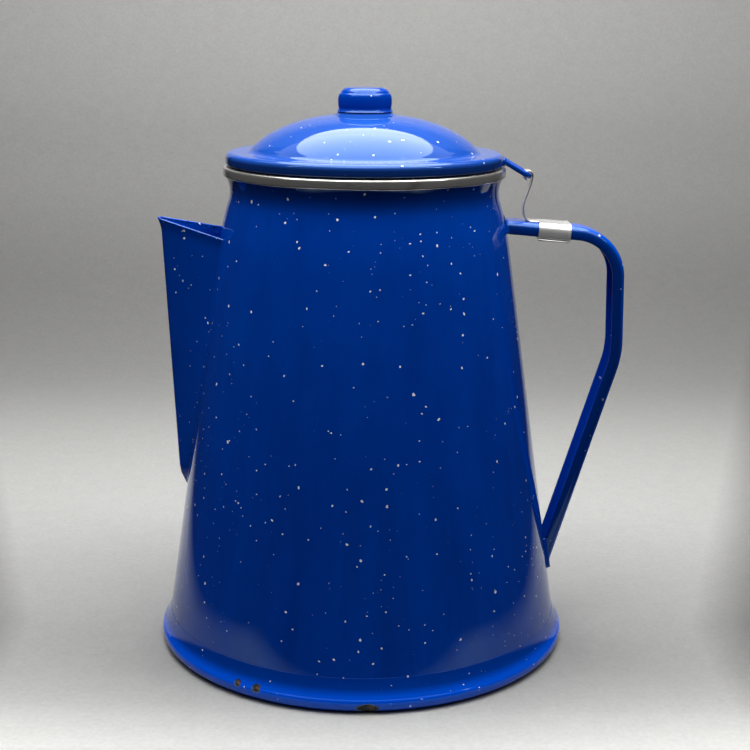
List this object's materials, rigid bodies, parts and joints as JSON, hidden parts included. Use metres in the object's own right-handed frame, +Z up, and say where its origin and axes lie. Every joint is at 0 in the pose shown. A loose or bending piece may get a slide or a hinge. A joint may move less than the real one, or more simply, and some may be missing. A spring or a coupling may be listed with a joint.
{
  "type": "coffee percolator",
  "caption": "Tall flared enamelled coffee percolator with V spout, strap handle, clip-hinged domed lid and a loose pump, basket and spreader inside.",
  "frame": {"origin": "centre of the flat bottom, where the pot's axis meets the surface it stands on", "axes": "+Z up along the pot's axis, +X towards the handle, -X towards the spout"},
  "size_m": [0.2015, 0.1792, 0.2408],
  "materials": {
    "enamel": "gloss vitreous enamel, cobalt blue with fine white speckles",
    "stainless": "bright rolled stainless sheet",
    "aluminium": "spun and pressed, satin"
  },
  "bodies": {
    "pot": {"pot_shell": "enamel", "base_pan": "enamel", "rim_band": "stainless", "spout": "enamel", "handle": "enamel", "hinge_clip": "stainless"},
    "lid": {"lid_shell": "enamel", "lid_skirt": "enamel", "lid_knob": "enamel", "hinge_loop": "enamel"},
    "pump": {"pump_tube": "aluminium", "pump_foot": "aluminium", "valve_seat": "aluminium", "basket_stop": "aluminium"},
    "valve": {"valve_disc": "aluminium"},
    "basket": {"coffee_basket": "aluminium", "basket_sleeve": "aluminium"},
    "spreader": {"basket_lid": "aluminium"}
  },
  "joints": [
    {"name": "lid_hinge", "type": "hinge", "parent": "pot", "child": "lid", "pos_m": [0.0691, 0, 0.2049], "axis": [0, 1, 0], "range_deg": [0, 187]},
    {"name": "pump_lift", "type": "slide", "parent": "pot", "child": "pump", "axis": [0, 0, 1], "range_m": [0, 0.008]},
    {"name": "valve_lift", "type": "slide", "parent": "pump", "child": "valve", "axis": [0, 0, 1], "range_m": [0, 0.0015]},
    {"name": "basket_lift", "type": "slide", "parent": "pump", "child": "basket", "axis": [0, 0, 1], "range_m": [0, 0.006]},
    {"name": "spreader_lift", "type": "slide", "parent": "basket", "child": "spreader", "axis": [0, 0, 1], "range_m": [0, 0.004]}
  ]
}
